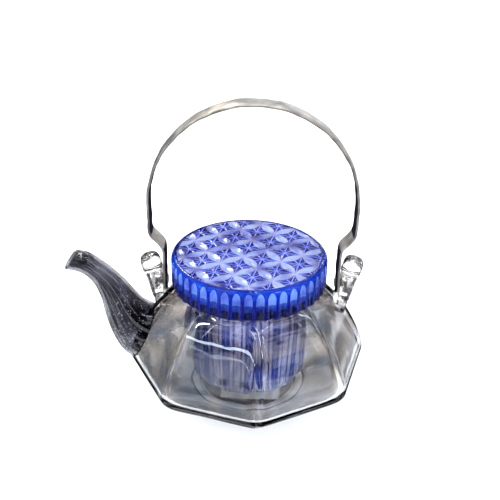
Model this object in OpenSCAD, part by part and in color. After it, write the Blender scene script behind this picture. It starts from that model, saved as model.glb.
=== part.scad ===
// Covered glass pouring pot with a hanging ice cup, a lid and a swinging bail handle.
// Z = 0 is the table, the Z axis is the pot's own axis and the spout points to -X.

/* [Pot body] */
// Corner radius of the eight-sided belt
belt_r = 64; // [62:1:66]
// Height of the belt above the table
belt_z = 22; // [20:1:24]
// Outer radius of the foot ring
foot_r = 31; // [29:1:32]
// Outer radius of the round neck
neck_r = 36.5; // [36:0.1:36.8]
// Height where the faceted shoulder meets the neck
shoulder_z = 65; // [63:1:66]
// Height of the mouth rim
mouth_z = 72; // [71:0.5:72]
// Thickness of the pot's glass wall
wall = 4; // [3.5:0.1:4.5]
// Height of the inside floor
floor_z = 5; // [4.5:0.1:5.5]

/* [Spout] */
// Thickness of the spout's glass wall
spout_wall = 1.8; // [1.6:0.1:2]
// Radius of the pouring hole behind the spout
pour_hole_r = 8; // [6:0.5:9]

/* [Ice cup] */
// Outer radius of the cup just below its flange
cup_r = 32.3; // [31.5:0.1:32.5]
// Thickness of the cup's glass wall
cup_wall = 3.3; // [2.8:0.1:3.6]
// Height of the underside of the cup's base
cup_base_z = 11; // [10.5:0.5:12]

/* [Lid] */
// Outer radius of the lid
lid_r = 40; // [39.5:0.1:40.5]
// Height of the lid's flat top
lid_top_z = 81.4; // [81:0.1:83]
// Height of the lower edge of the lid's skirt
lid_skirt_z = 65.5; // [65:0.1:67]
// Number of upright flutes round the skirt
flutes = 44; // [36:2:48]

/* [Handle] */
// Turn of the handle's line away from the spout's line, in degrees
handle_turn = -5; // [-6:1:0]
// Shift of the handle along its own line, as the lugs were set by hand
handle_shift = 1.3; // [-1:0.1:1.5]
// Outer radius of the bail's arch
bail_r = 52.4; // [51.6:0.1:53]
// Height of the arch's centre
arch_z = 109; // [104:0.5:112]
// Width of the bail's metal strip
strip_w = 11; // [9:0.5:11]
// Thickness of the bail's metal strip
strip_t = 1.6; // [1.4:0.1:1.8]
// Height of the pivot axis
pivot_z = 65; // [64.5:0.1:65.5]
// Radius of the pivot pins
pin_r = 2; // [1.8:0.1:2.2]

/* [Label] */
// Width of the blank paper label under the base
label_w = 30; // [20:1:32]
// Depth of the label
label_d = 26; // [20:1:27]

/* [Hidden] */
$fn = 96;
over = 0.5;            // how far a cutting shape runs past a face
clearance = 0.05;      // running clearance round a pivot pin
gap = 0.3;             // air between pieces that lift apart
bend = 1.45;           // roundness of the body's outline, 1 is an ellipse and 2 is flat
tuck = 1;              // how far the facets run into the round foot and neck
facet_steps = 7;
octagon = 8;
neck_gap = 0.8;        // air between the cup and the neck's bore
neck_root = 10;        // how far the round neck runs down into the shoulder
bore_root = 8;         // how far the neck's bore runs down below the shoulder's glass
foot_lift = 1.2;       // depth of the hollow inside the foot ring
foot_ring_w = 5;
foot_band = 3;         // height of the round foot above its hollow
pour_hole_x = -57;
pour_hole_z = 37;
pour_hole_lean = -71;  // turn of the hole's axis about Y, square to the shoulder
pour_hole_reach = 20;
channel_over = 2;      // how far the spout's channel runs past its ends
flange_t = 3;
flange_r = neck_r - 0.4;
flange_edge = 1.2;     // bevel of the flange's upper edge
cup_top_z = 76.8;
cup_lip_z = 60;        // the cup's side is straight above this height
cup_waist_z = 46;
cup_taper = 0.6;
cup_base_r = cup_r - 10;
cup_base_round = 9;
cup_floor_t = 4.5;
cup_panels = 16;       // upright cuts round the cup
cup_panel_share = 0.76;
cup_panel_depth = 1;
lid_under_z = cup_top_z + 0.2;
skirt_wall = 2.4;
shoulder_round = 2.6;
flute_share = 0.7;     // width of a flute, as a share of the flutes' pitch
flute_depth = 0.7;
arc_flats = 8;
leg_drop = 16;         // straight part of the bail below the arch
jog_h = 7;             // height of the inward jog
jog_bevel = 0.4;       // keeps the strip's thickness through the jog
leg_x = 43.8;          // inner face of the bail's lower leg
arch_steps = 36;       // flats in each half of the arch
lug_w = 8;
lug_d = 9.5;
lug_lean = 15;
lug_root_x = 45.7;     // middle of the lug's root
lug_root_z = 52;
lug_sink = 4;          // how far the lug runs into the shoulder before it is trimmed
lug_edge_r = 2;
knob_r = 5.2;
knob_z = 24.9;         // knob centre above the root, along the lug
knob_collar = 5.5;
window_w = 3.4;
window_h = 7.2;
lug_flat_gap = 0.3;    // air between the bail's leg and the lug's ground inner face
lug_flat_drop = 7;     // how far that face runs below the pivot
head_r = 2.9;
head_t = 1.4;
inner_head_t = 0.8;
inner_head_r = 3;
label_x = 1.4;
label_y = -6;
label_t = 0.2;
label_turn = -7;

// Outline of one corner of the body, from the foot up to the neck. inset moves it inwards.
function lower_corner(t, inset, base_z) =
    [foot_r - tuck - inset + (belt_r - foot_r + tuck) * pow(cos(t), bend),
     belt_z - (belt_z - base_z) * pow(sin(t), bend)];
function upper_corner(t, inset, top_z) =
    [neck_r - tuck - inset + (belt_r - neck_r + tuck) * pow(cos(t), bend),
     belt_z + (top_z - belt_z) * pow(sin(t), bend)];
function corner_profile(inset, base_z, top_z) = concat(
    [for (i = [facet_steps:-1:0]) lower_corner(90 * i / facet_steps, inset, base_z)],
    [for (i = [1:facet_steps]) upper_corner(90 * i / facet_steps, inset, top_z)]);

// Skin of a stack of rings with the same number of points: triangles round the sides and two end caps.
function skin_faces(rings, sides) = concat(
    [[for (i = [0:sides - 1]) i]],
    [for (k = [0:rings - 2]) for (i = [0:sides - 1])
        [k * sides + i, (k + 1) * sides + i, (k + 1) * sides + (i + 1) % sides]],
    [for (k = [0:rings - 2]) for (i = [0:sides - 1])
        [k * sides + i, (k + 1) * sides + (i + 1) % sides, k * sides + (i + 1) % sides]],
    [[for (i = [sides - 1:-1:0]) (rings - 1) * sides + i]]);

module faceted_vessel(profile) {
    points = [for (p = profile) for (i = [0:octagon - 1])
        [p[0] * cos(360 * i / octagon), p[0] * sin(360 * i / octagon), p[1]]];
    polyhedron(points, skin_faces(len(profile), octagon), convexity = 4);
}

module pot_outside() {
    faceted_vessel(corner_profile(0, foot_lift + over, shoulder_z));
}

// Spout sections: lower x, lower z, upper x, upper z, half width.
spout_sections = [
    [-56.5, 18.5, -46.0, 50.0, 11.5],
    [-62.5, 21.0, -51.5, 52.5, 11.5],
    [-68.0, 27.5, -55.5, 55.5, 11.0],
    [-72.5, 38.0, -59.0, 60.0, 9.8],
    [-75.0, 48.5, -62.0, 64.5, 8.4],
    [-76.5, 57.5, -65.5, 69.0, 7.1],
    [-79.0, 65.0, -70.0, 74.0, 6.1],
    [-82.5, 70.5, -75.5, 79.0, 5.7],
    [-87.0, 73.5, -80.5, 83.0, 5.5],
    [-93.0, 75.0, -86.0, 84.5, 5.2]];
spout_sides = 20;
spout_rings = 19;

function spline(a, b, c, d, t) =
    0.5 * (2 * b + (c - a) * t + (2 * a - 5 * b + 4 * c - d) * t * t + (3 * b - a - 3 * c + d) * t * t * t);
function section_at(u) =
    let (last = len(spout_sections) - 1, k = min(floor(u), last - 1), t = u - k)
    spline(spout_sections[max(k - 1, 0)], spout_sections[k], spout_sections[k + 1],
           spout_sections[min(k + 2, last)], t);
// extra runs the two ends of a channel past the ends of the spout.
module spout_loft(inset, extra) {
    points = [for (k = [0:spout_rings - 1])
        let (s = section_at((len(spout_sections) - 1) * k / (spout_rings - 1)),
             low = [s[0], s[1]], high = [s[2], s[3]],
             along = (high - low) / norm(high - low),
             push = k == 0 ? -extra : k == spout_rings - 1 ? extra : 0,
             mid = (low + high) / 2 + push * [-along[1], along[0]],
             half_h = norm(high - low) / 2 - inset, half_w = s[4] - inset)
        for (i = [0:spout_sides - 1])
        let (a = 360 * i / spout_sides)
        [mid[0] + along[0] * half_h * cos(a), half_w * sin(a), mid[1] + along[1] * half_h * cos(a)]];
    polyhedron(points, skin_faces(spout_rings, spout_sides), convexity = 6);
}

module pot_body() {
    color([0.86, 0.89, 0.90, 0.4])
    difference() {
        union() {
            pot_outside();
            cylinder(r = foot_r, h = foot_lift + foot_band);
            translate([0, 0, shoulder_z - neck_root])
                cylinder(r = neck_r, h = mouth_z - shoulder_z + neck_root);
        }
        faceted_vessel(corner_profile(wall, floor_z, shoulder_z - wall));
        translate([0, 0, shoulder_z - wall - bore_root]) cylinder(r = cup_r + neck_gap, h = mouth_z);
        translate([0, 0, -over]) cylinder(r = foot_r - foot_ring_w, h = foot_lift + over);
        translate([pour_hole_x, 0, pour_hole_z]) rotate([0, pour_hole_lean, 0])
            cylinder(r = pour_hole_r, h = pour_hole_reach, center = true);
    }
}

module spout() {
    color([0.60, 0.60, 0.62, 0.5])
    difference() {
        spout_loft(0, 0);
        spout_loft(spout_wall, channel_over);
        pot_outside();
    }
}

module rounded_bar(w, d, h, r) {
    linear_extrude(h) {
        square([w - 2 * r, d], center = true);
        square([w, d - 2 * r], center = true);
        for (x = [-1, 1], y = [-1, 1])
            translate([x * (w / 2 - r), y * (d / 2 - r)]) circle(r = r);
    }
}

// One glass lug on the +X side: a leaning bar with a domed knob, a cross window and a pin bore.
module lug() {
    difference() {
        translate([lug_root_x, 0, lug_root_z]) rotate([0, lug_lean, 0]) difference() {
            union() {
                translate([0, 0, -lug_sink]) rounded_bar(lug_w, lug_d, knob_z + lug_sink, lug_edge_r);
                translate([0, 0, knob_z]) sphere(r = knob_r);
                translate([0, 0, knob_z - knob_collar]) cylinder(r = knob_r, h = knob_collar);
            }
            translate([0, 0, (pivot_z - lug_root_z) / cos(lug_lean)])
                cube([window_w, lug_d + 2 * over, window_h], center = true);
        }
        translate([leg_x, 0, pivot_z]) rotate([0, 90, 0])
            cylinder(r = pin_r + clearance, h = lug_root_x - leg_x + knob_r);
        translate([leg_x + strip_t + lug_flat_gap - bail_r, -bail_r / 2, pivot_z - lug_flat_drop])
            cube(bail_r);
    }
}

module on_handle_line(side) {
    rotate([0, 0, handle_turn]) translate([handle_shift, 0, 0])
        rotate([0, 0, side > 0 ? 0 : 180]) children();
}

module spout_side_lug() {
    color([0.95, 0.93, 0.90, 0.5]) difference() {
        on_handle_line(-1) lug();
        pot_outside();
        spout_loft(0, 0);
    }
}

module far_side_lug() {
    color([0.95, 0.93, 0.90, 0.5]) difference() {
        on_handle_line(1) lug();
        pot_outside();
    }
}

function arc_points(cx, cy, r, from, to, steps) =
    [for (i = [0:steps]) let (a = from + (to - from) * i / steps) [cx + r * cos(a), cy + r * sin(a)]];

// Upright cylinders standing round a turned piece, to cut count shallow flutes of the given depth.
module flute_cutters(r, count, share, depth, from_z, to_z) {
    width = share * 2 * PI * r / count;
    cut_r = width * width / (8 * depth) + depth / 2;
    for (i = [0:count - 1]) rotate([0, 0, 360 * i / count])
        translate([r + cut_r - depth, 0, from_z]) cylinder(r = cut_r, h = to_z - from_z);
}

// The ice cup hangs by its flange on the pot's mouth.
module ice_cup() {
    flange_z = mouth_z + gap;
    inner_r = cup_r - cup_wall;
    inner_round = cup_base_round - cup_floor_t / 3;
    outside = concat([[0, cup_base_z], [cup_base_r, cup_base_z]],
        arc_points(cup_base_r - 1, cup_base_z + cup_base_round, cup_base_round, -60, 0, arc_flats),
        [[cup_r - cup_taper, cup_waist_z], [cup_r, cup_lip_z], [cup_r, flange_z], [flange_r, flange_z],
         [flange_r, flange_z + flange_t], [flange_r - flange_edge, cup_top_z]]);
    inside = concat([[inner_r, cup_top_z], [inner_r, cup_lip_z], [inner_r - cup_taper, cup_waist_z]],
        arc_points(cup_base_r - wall, cup_base_z + cup_floor_t + inner_round,
                   inner_round, 0, -90, arc_flats),
        [[0, cup_base_z + cup_floor_t]]);
    color([0.55, 0.60, 0.85, 0.5])
    difference() {
        rotate_extrude() polygon(concat(outside, inside));
        flute_cutters(cup_r, cup_panels, cup_panel_share, cup_panel_depth,
                      cup_base_z + 2 * cup_base_round, shoulder_z);
    }
}

// Flat lid with a rounded shoulder and a fluted skirt round the neck.
module lid() {
    outline = concat([[0, lid_under_z], [lid_r - skirt_wall, lid_under_z],
                      [lid_r - skirt_wall, lid_skirt_z], [lid_r, lid_skirt_z]],
        arc_points(lid_r - shoulder_round, lid_top_z - shoulder_round, shoulder_round, 0, 90, arc_flats),
        [[0, lid_top_z]]);
    color([0.10, 0.18, 0.78, 0.7])
    difference() {
        rotate_extrude() polygon(outline);
        flute_cutters(lid_r, flutes, flute_share, flute_depth,
                      lid_skirt_z - over, lid_top_z - shoulder_round - over);
    }
}

// Flat metal strip seen from the front: an arch, two straight legs, an inward jog and two lower legs.
module bail_outline() {
    jog_top = arch_z - leg_drop;
    leg_end = pivot_z - strip_w / 2;
    half_outside = concat(
        [[leg_x + strip_t, leg_end], [leg_x + strip_t, jog_top - jog_h - jog_bevel], [bail_r, jog_top]],
        arc_points(0, arch_z, bail_r, 0, 90, arch_steps));
    half_inside = concat(
        [[leg_x, leg_end], [leg_x, jog_top - jog_h], [bail_r - strip_t, jog_top + jog_bevel]],
        arc_points(0, arch_z, bail_r - strip_t, 0, 90, arch_steps));
    polygon(concat(
        half_outside,
        [for (i = [len(half_outside) - 2:-1:0]) [-half_outside[i][0], half_outside[i][1]]],
        [for (p = half_inside) [-p[0], p[1]]],
        [for (i = [len(half_inside) - 2:-1:0]) half_inside[i]]));
}

module bail_handle() {
    color([0.72, 0.70, 0.67])
    on_handle_line(1) difference() {
        translate([0, strip_w / 2, 0]) rotate([90, 0, 0]) linear_extrude(strip_w) bail_outline();
        translate([-bail_r, 0, pivot_z]) rotate([0, 90, 0]) cylinder(r = pin_r, h = 2 * bail_r);
        for (side = [-1, 1]) translate([side * leg_x - bail_r / 4, 0, pivot_z])
            rotate([0, 90, 0]) difference() {
                translate([0, -strip_w, 0]) cube([strip_w, 2 * strip_w, bail_r / 2]);
                translate([0, 0, -1]) cylinder(r = strip_w / 2, h = bail_r);
            }
    }
}

// Rivet through the bail's leg: its outer head sits in the lug's window.
module pin() {
    window_x = lug_root_x + (pivot_z - lug_root_z) * tan(lug_lean);
    translate([leg_x - inner_head_t, 0, pivot_z]) rotate([0, 90, 0]) {
        cylinder(r = pin_r, h = window_x - leg_x + inner_head_t);
        cylinder(r = inner_head_r, h = inner_head_t);
    }
    translate([window_x - head_t / 2, 0, pivot_z]) rotate([0, 90, 0]) cylinder(r = head_r, h = head_t);
}

module spout_side_pin() {
    color([0.45, 0.44, 0.43]) on_handle_line(-1) pin();
}

module far_side_pin() {
    color([0.45, 0.44, 0.43]) on_handle_line(1) pin();
}

module base_label() {
    color([0.86, 0.86, 0.90])
    translate([label_x, label_y, foot_lift - label_t / 2]) rotate([0, 0, label_turn])
        cube([label_w, label_d, label_t], center = true);
}

pot_body();
spout();
spout_side_lug();
far_side_lug();
ice_cup();
lid();
bail_handle();
spout_side_pin();
far_side_pin();
base_label();
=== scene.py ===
"""Glass pouring pot: a faceted clear body with spout, lugs and bail handle, an ice cup and a blue lid."""

import math

import bmesh
import bpy
import numpy as np
from mathutils import Matrix, Vector


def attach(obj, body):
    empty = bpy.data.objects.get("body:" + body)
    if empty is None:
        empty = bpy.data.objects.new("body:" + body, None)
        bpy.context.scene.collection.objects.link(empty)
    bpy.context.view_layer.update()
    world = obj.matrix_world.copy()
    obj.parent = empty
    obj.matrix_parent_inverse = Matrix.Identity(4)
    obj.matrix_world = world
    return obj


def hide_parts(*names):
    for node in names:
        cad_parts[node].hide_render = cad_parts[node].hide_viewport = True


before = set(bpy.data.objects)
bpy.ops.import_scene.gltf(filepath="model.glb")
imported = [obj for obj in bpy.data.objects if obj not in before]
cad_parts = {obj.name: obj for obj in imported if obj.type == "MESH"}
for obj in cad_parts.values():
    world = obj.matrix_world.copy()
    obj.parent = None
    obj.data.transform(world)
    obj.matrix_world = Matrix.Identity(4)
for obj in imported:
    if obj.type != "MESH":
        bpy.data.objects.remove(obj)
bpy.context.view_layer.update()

MM = 0.001
TAU = 2 * math.pi

# ---------------------------------------------------------------- driving sizes, in millimetres
BELT_R, BELT_Z = 64.0, 22.0
FOOT_R, FOOT_LIFT, FOOT_RING_W = 31.0, 1.2, 5.0
NECK_R, SHOULDER_Z, MOUTH_Z = 36.5, 65.0, 72.0
WALL, FLOOR_Z = 4.0, 5.0
BEND = 1.45                      # power of the wall's curve from the belt to the foot and to the neck
CORNERS = 8
OUTER_CRISPNESS, INNER_CRISPNESS = 70, 30
BORE_R = 33.1
POUR_HOLE_R, POUR_HOLE_FROM, POUR_HOLE_TO = 8, (-48.5, 0, 34), (-67.4, 0, 40.5)

SPOUT_WALL = 1.8
# Lower x, lower z, upper x, upper z and half width of each spout section, from the root to the tip.
SPOUT_SECTIONS = (
    (-56.5, 18.5, -46.0, 50.0, 11.5),
    (-62.5, 21.0, -51.5, 52.5, 11.5),
    (-68.0, 27.5, -55.5, 55.5, 11.0),
    (-72.5, 38.0, -59.0, 60.0, 9.8),
    (-75.0, 48.5, -62.0, 64.5, 8.4),
    (-76.5, 57.5, -65.5, 69.0, 7.1),
    (-79.0, 65.0, -70.0, 74.0, 6.1),
    (-82.5, 70.5, -75.5, 79.0, 5.7),
    (-87.0, 73.5, -80.5, 83.0, 5.5),
    (-93.0, 75.0, -86.0, 84.5, 5.2),
)
SPOUT_SIDES = 64

HANDLE_TURN, HANDLE_SHIFT = math.radians(-5), 1.3
BAIL_R, ARCH_Z, LEG_DROP, JOG_H, LEG_X = 52.4, 109.0, 16.0, 7.0, 43.8
STRIP_W, STRIP_T = 11.0, 1.6
DENTS = ((23.0, 0.10), (11.0, 0.07), (6.5, 0.04))     # length and height of each wave in the hammered strip
PIVOT_Z, PIN_R = 65.0, 2.0
LUG_W, LUG_D, LUG_LEAN = 8.0, 9.5, math.radians(15)
LUG_ROOT_X, LUG_ROOT_Z, KNOB_R, KNOB_UP = 45.7, 52.0, 5.2, 24.9
LUG_FLAT_X = LEG_X + STRIP_T + 0.3
WINDOW_W, WINDOW_H = 3.4, 7.2
HEAD_R, HEAD_T = 2.9, 1.4
FUSED_GAP = 0.04                 # keeps fused pieces from sharing a face with the pot

CUP_R, CUP_WALL, CUP_BASE_Z, CUP_TOP_Z = 32.3, 3.3, 11.0, 76.8
CUP_BASE_R, CUP_BASE_ROUND = CUP_R - 10, 9.0
CUP_STRAIGHT_Z, CUP_TAPER_Z = 60, 46       # the side is upright above the first and leans in below it
CUP_FLUTES, CUP_PHASE = 16, math.radians(-2.2)
CUP_PANEL = 0.72                 # share of a flute's pitch that is scooped out
CUP_FADE_R, CUP_FADE_W = 12, 8   # the flutes deepen from nothing over this ring of the base
CUP_CUT_TOP_Z = 68.5             # the blue casing and the cuts stop below the flange
CUP_CUT_R = 17                   # and start outside this radius of the base
BASE_STAR_RAYS = 32
LID_R, LID_TOP_Z, LID_SKIRT_Z, LID_UNDER_Z = 40.0, 81.4, 65.5, 77.0
LID_FLUTES, LID_SHOULDER, SKIRT_WALL = 44, 2.6, 2.4
LABEL_AT, LABEL_W, LABEL_D, LABEL_TURN = (1.4, -6.0), 30.0, 26.0, math.radians(-7)
LABEL_T = 0.2


# ---------------------------------------------------------------- mesh helpers
def make_piece(name, points, faces, body, slot, material, replaced=(), attributes=None):
    """A smooth-shaded mesh, given in millimetres, that rides on a body and stands for CAD nodes."""
    mesh = bpy.data.meshes.new(name)
    mesh.from_pydata((np.asarray(points, float) * MM).tolist(), [], faces)
    for key, values in (attributes or {}).items():
        layer = mesh.attributes.new(key, "FLOAT", "POINT")
        layer.data.foreach_set("value", np.asarray(values, np.float32))
    mesh.validate()
    mesh.shade_smooth()
    mesh.materials.append(material)
    piece = bpy.data.objects.new(name, mesh)
    bpy.context.scene.collection.objects.link(piece)
    if body:
        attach(piece, body)
        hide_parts(*replaced)
    face_outwards(mesh)
    return piece


def face_outwards(mesh):
    """Turns the faces of a closed mesh so that they point outwards."""
    shape = bmesh.new()
    shape.from_mesh(mesh)
    bmesh.ops.recalc_face_normals(shape, faces=shape.faces)
    shape.to_mesh(mesh)
    shape.free()


def skin(rings, pole_first=False, pole_last=False, closed_loop=False):
    """Points and faces of a stack of rings, each an array of N points. A pole closes an end with a fan."""
    count, sides = len(rings), len(rings[0])
    points = np.concatenate(rings)
    following = [(i + 1) % sides for i in range(sides)]
    faces = []
    for k in range(count if closed_loop else count - 1):
        a, b = k * sides, ((k + 1) % count) * sides
        faces += [(a + i, a + following[i], b + following[i], b + i) for i in range(sides)]
    if pole_first:
        centre = len(points)
        points = np.vstack([points, rings[0].mean(0)])
        faces += [(centre, following[i], i) for i in range(sides)]
    if pole_last:
        centre = len(points)
        points = np.vstack([points, rings[-1].mean(0)])
        base = (count - 1) * sides
        faces += [(centre, base + i, base + following[i]) for i in range(sides)]
    return points, faces


def joined(shapes):
    """Points and faces of several shapes in one mesh."""
    points, faces, start = [], [], 0
    for shape_points, shape_faces in shapes:
        points.append(shape_points)
        faces += [tuple(v + start for v in face) for face in shape_faces]
        start += len(shape_points)
    return np.concatenate(points), faces


def softened(path, spacing, blur):
    """A polyline resampled evenly and rounded at its corners, ends kept. Extra columns follow along."""
    path = np.asarray(path, float)
    columns = range(path.shape[1])
    length = np.concatenate([[0], np.cumsum(np.hypot(*np.diff(path[:, :2], axis=0).T))])
    fine = np.arange(0, length[-1], spacing / 4)
    dense = np.stack([np.interp(fine, length, path[:, c]) for c in columns], 1)
    reach = max(1, int(3 * blur / (spacing / 4)))
    offsets = np.arange(-reach, reach + 1) * spacing / 4
    weights = np.exp(-0.5 * (offsets / blur) ** 2)
    weights /= weights.sum()
    before = 2 * dense[0] - dense[reach:0:-1]
    after = 2 * dense[-1] - dense[-2:-reach - 2:-1]
    padded = np.vstack([before, dense, after])
    smooth = np.stack([np.convolve(padded[:, c], weights, "valid") for c in columns], 1)
    return np.vstack([smooth[::4], path[-1:]])


def turned(profile, sides):
    """Rings of a turned shape about Z, from (radius, height) pairs."""
    angle = np.linspace(0, TAU, sides, endpoint=False)
    return [np.stack([r * np.cos(angle), r * np.sin(angle), np.full(sides, z)], 1) for r, z in profile]


def superellipse_ring(half_x, half_y, z, power, sides):
    """An outline between an ellipse, at power 2, and a rectangle, at a high power."""
    angle = np.linspace(0, TAU, sides, endpoint=False)
    c, s = np.cos(angle), np.sin(angle)
    r = (np.abs(c / half_x) ** power + np.abs(s / half_y) ** power) ** (-1 / power)
    return np.stack([r * c, r * s, np.full(sides, z)], 1)


def moved(points, matrix):
    """Points taken through a 4 x 4 matrix."""
    m = np.array(matrix)
    return np.asarray(points) @ m[:3, :3].T + m[:3, 3]


def apply_modifiers(piece):
    """Bakes a piece's modifiers into its mesh."""
    depsgraph = bpy.context.evaluated_depsgraph_get()
    mesh = bpy.data.meshes.new_from_object(piece.evaluated_get(depsgraph))
    old = piece.data
    piece.modifiers.clear()
    piece.data = mesh
    bpy.data.meshes.remove(old)
    mesh.shade_smooth()


def cut(piece, tool):
    """Takes a throw-away object's volume out of a piece."""
    modifier = piece.modifiers.new("cut", "BOOLEAN")
    modifier.operation = "DIFFERENCE"
    modifier.solver = "EXACT"
    modifier.object = tool
    apply_modifiers(piece)
    bpy.data.objects.remove(tool)


def cutting_tool(rings):
    """A closed stack of rings as a throw-away object."""
    return make_piece("cutting_tool", *skin(rings, True, True), None, None, GLASS)


def cutting_cylinder(radius, start, end, sides=48):
    """A plain cylinder between two points as a throw-away object."""
    start, end = np.asarray(start, float), np.asarray(end, float)
    axis = (end - start) / np.linalg.norm(end - start)
    side = np.cross(axis, [0, 1, 0] if abs(axis[1]) < 0.9 else [1, 0, 0])
    side /= np.linalg.norm(side)
    up = np.cross(axis, side)
    angle = np.linspace(0, TAU, sides, endpoint=False)[:, None]
    ring = radius * (np.cos(angle) * side + np.sin(angle) * up)
    return cutting_tool([start + ring, end + ring])


# ---------------------------------------------------------------- shader helpers
def node_material(name):
    """A new material with its tree and its main shader."""
    material = bpy.data.materials.new(name)
    material.use_nodes = True
    tree = material.node_tree
    return material, tree, tree.nodes["Principled BSDF"]


def wire(tree, source, target):
    """Links a source to an input, or sets the input if the source is a plain colour."""
    if isinstance(source, (tuple, list)):
        target.default_value = (*source, 1)
    else:
        tree.links.new(source, target)


def object_noise(tree, scale, detail, distortion=0.0):
    """Cloudy noise in the object's own coordinates."""
    coords = tree.nodes.new("ShaderNodeTexCoord")
    noise = tree.nodes.new("ShaderNodeTexNoise")
    noise.inputs["Scale"].default_value = scale
    noise.inputs["Detail"].default_value = detail
    noise.inputs["Distortion"].default_value = distortion
    wire(tree, coords.outputs["Object"], noise.inputs["Vector"])
    return noise.outputs["Fac"]


def attribute(tree, name):
    """A value stored on the mesh's points."""
    node = tree.nodes.new("ShaderNodeAttribute")
    node.attribute_name = name
    return node.outputs["Fac"]


def remap(tree, value, low, high, to_low=0.0, to_high=1.0):
    """A value taken from one range to another, and held at the ends."""
    span = tree.nodes.new("ShaderNodeMapRange")
    span.inputs["From Min"].default_value = low
    span.inputs["From Max"].default_value = high
    span.inputs["To Min"].default_value = to_low
    span.inputs["To Max"].default_value = to_high
    wire(tree, value, span.inputs["Value"])
    return span.outputs["Result"]


def colour_ramp(tree, factor, stops, interpolation="LINEAR"):
    """Colours along a factor, from rising (place, colour) stops."""
    ramp = tree.nodes.new("ShaderNodeValToRGB")
    ramp.color_ramp.interpolation = interpolation
    elements = ramp.color_ramp.elements
    for k, (place, colour) in enumerate(stops):
        element = elements[k] if k < 2 else elements.new(place)
        element.position = place
        element.color = (*colour, 1)
    wire(tree, factor, ramp.inputs["Fac"])
    return ramp.outputs["Color"]


def height_ramp(tree, stops):
    """A colour that changes with height in the object, from (height in mm, colour) stops."""
    coords = tree.nodes.new("ShaderNodeTexCoord")
    split = tree.nodes.new("ShaderNodeSeparateXYZ")
    wire(tree, coords.outputs["Object"], split.inputs["Vector"])
    low, high = stops[0][0], stops[-1][0]
    share = remap(tree, split.outputs["Z"], low * MM, high * MM)
    places = [((height - low) / (high - low), colour) for height, colour in stops]
    return colour_ramp(tree, share, places, "EASE")


def colour_mix(tree, factor, first, second, blend="MIX"):
    """Goes from the first colour to the second as the factor goes from 0 to 1."""
    mix = tree.nodes.new("ShaderNodeMix")
    mix.data_type = "RGBA"
    mix.blend_type = blend
    wire(tree, factor, mix.inputs["Factor"])
    wire(tree, first, mix.inputs["A"])
    wire(tree, second, mix.inputs["B"])
    return mix.outputs["Result"]


def add_bump(tree, shader, height, strength, distance):
    """Raises the surface by a value, as a bump."""
    bump = tree.nodes.new("ShaderNodeBump")
    bump.inputs["Strength"].default_value = strength
    bump.inputs["Distance"].default_value = distance
    wire(tree, height, bump.inputs["Height"])
    wire(tree, bump.outputs["Normal"], shader.inputs["Normal"])


def add_ripple(tree, shader, scale, strength, distance):
    """A soft bump, as hand-worked or polished surfaces have."""
    add_bump(tree, shader, object_noise(tree, scale, 2.0), strength, distance)


def painted_rim_tone(tree, colour, dark, blend):
    """Painted rim: mixes a colour towards a rim colour where the surface turns edge-on, painted shade where
    the rim colour is darker and painted light where it is lighter, for the room that glass reflects and
    refracts at its rim.
    """
    facing = tree.nodes.new("ShaderNodeLayerWeight")
    facing.inputs["Blend"].default_value = blend
    return colour_mix(tree, facing.outputs["Facing"], colour, dark)


def let_lamps_through(tree, shader, tint):
    """Lamps reach what is behind the glass, dimmed and tinted, instead of leaving a hard black shadow."""
    path = tree.nodes.new("ShaderNodeLightPath")
    clear = tree.nodes.new("ShaderNodeBsdfTransparent")
    clear.inputs["Color"].default_value = (*tint, 1)
    mix = tree.nodes.new("ShaderNodeMixShader")
    wire(tree, path.outputs["Is Shadow Ray"], mix.inputs["Fac"])
    wire(tree, shader.outputs["BSDF"], mix.inputs[1])
    wire(tree, clear.outputs["BSDF"], mix.inputs[2])
    wire(tree, mix.outputs["Shader"], tree.nodes["Material Output"].inputs["Surface"])


# ---------------------------------------------------------------- materials
def glass_material(name, tint, edge, clearness=1.0, roughness=0.0, ripple=0.0):
    """Plain glass with a painted dark rim. edge is how much of the tint's brightness its painted rim keeps.
    """
    material, tree, shader = node_material(name)
    let_lamps_through(tree, shader, [0.9 + 0.07 * c for c in tint])
    # Painted shade: the tint darkens towards the rim, standing in for the dark room that the rim reflects.
    wire(tree, painted_rim_tone(tree, tint, [c * edge for c in tint], 0.5), shader.inputs["Base Color"])
    shader.inputs["Roughness"].default_value = roughness
    shader.inputs["IOR"].default_value = 1.5
    shader.inputs["Transmission Weight"].default_value = clearness
    if ripple:
        add_ripple(tree, shader, 160, ripple, 0.0012)
    return material


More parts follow.
